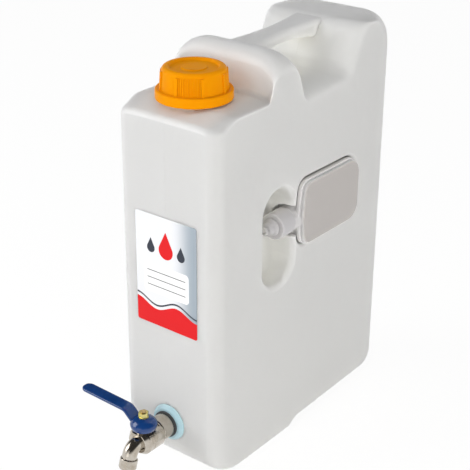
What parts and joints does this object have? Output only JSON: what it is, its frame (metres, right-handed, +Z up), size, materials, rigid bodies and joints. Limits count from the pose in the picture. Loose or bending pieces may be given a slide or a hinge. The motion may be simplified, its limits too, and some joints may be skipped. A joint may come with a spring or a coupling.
{
  "type": "hand wash water canister",
  "caption": "Upright blow-moulded water canister with a lever ball-valve tap, a screw cap, a carrying handle between humps and a pull-out soap bottle in a side recess.",
  "frame": {"origin": "middle of the base, on the surface it stands on", "axes": "+Z up, the tap points along -Y, the soap bottle is on the +X side"},
  "size_m": [0.1415, 0.3485, 0.4061],
  "materials": {
    "canister": "milky translucent blow-moulded polyethylene, satin",
    "label": "printed film",
    "cap": "moulded orange plastic",
    "soft_white": "soft foam",
    "blue_gasket": "pale translucent blue",
    "black_rubber": "matt",
    "nickel": "nickel plate, polished",
    "seat_white": "slippery white plastic",
    "bare_brass": "turned",
    "lever_blue": "glossy dipped coat",
    "yellow_zinc": "yellow plated",
    "soap_white": "satin",
    "soap_cap_white": "satin"
  },
  "bodies": {
    "canister": {"canister_shell": "canister", "front_label": "label", "tap_outer_gasket": "blue_gasket", "tap_rubber_washer": "black_rubber", "tap_inner_gasket": "black_rubber", "tap_locknut": "nickel", "tap_inlet": "nickel", "tap_body": "nickel", "outlet_collar": "nickel", "seat_ring_rear": "seat_white", "seat_ring_front": "seat_white", "stem_washer": "seat_white", "stem_packing": "seat_white", "gland_nut": "bare_brass"},
    "cap_seal": {"cap_gasket": "soft_white"},
    "cap": {"screw_cap": "cap"},
    "lever": {"lever_handle": "lever_blue", "lever_washer": "yellow_zinc", "lever_nut": "yellow_zinc", "valve_stem": "bare_brass", "valve_ball": "nickel"},
    "soap_bottle": {"soap_bottle": "soap_white"},
    "soap_seal": {"soap_cap_liner": "soft_white"},
    "soap_cap": {"soap_cap": "soap_cap_white"},
    "soap_nozzle": {"soap_spout": "soap_cap_white"}
  },
  "joints": [
    {"name": "cap_lift", "type": "slide", "parent": "canister", "child": "cap_seal", "axis": [0, 0, 1], "range_m": [0, 0.0151]},
    {"name": "cap_turn", "type": "hinge", "parent": "cap_seal", "child": "cap", "pos_m": [0, -0.098, 0.3657], "axis": [0, 0, 1], "range_deg": [0, 900]},
    {"name": "lever_turn", "type": "hinge", "parent": "canister", "child": "lever", "pos_m": [0, -0.1762, 0.0465], "axis": [0, 0, 1], "range_deg": [0, 90]},
    {"name": "soap_out", "type": "slide", "parent": "canister", "child": "soap_bottle", "axis": [1, 0, 0], "range_m": [0, 0.04]},
    {"name": "soap_cap_lift", "type": "slide", "parent": "soap_bottle", "child": "soap_seal", "axis": [0, -1, 0], "range_m": [0, 0.0061]},
    {"name": "soap_cap_turn", "type": "hinge", "parent": "soap_seal", "child": "soap_cap", "pos_m": [0.048, -0.039, 0.2335], "axis": [0, -1, 0], "range_deg": [0, 720]},
    {"name": "nozzle_pull", "type": "slide", "parent": "soap_cap", "child": "soap_nozzle", "axis": [0, -1, 0], "range_m": [0, 0.004]}
  ],
  "couplings": [
    {"joint": "cap_lift", "follows": "cap_turn", "m_per_rad": 0.00095493},
    {"joint": "soap_cap_lift", "follows": "soap_cap_turn", "m_per_rad": 0.00047746}
  ]
}
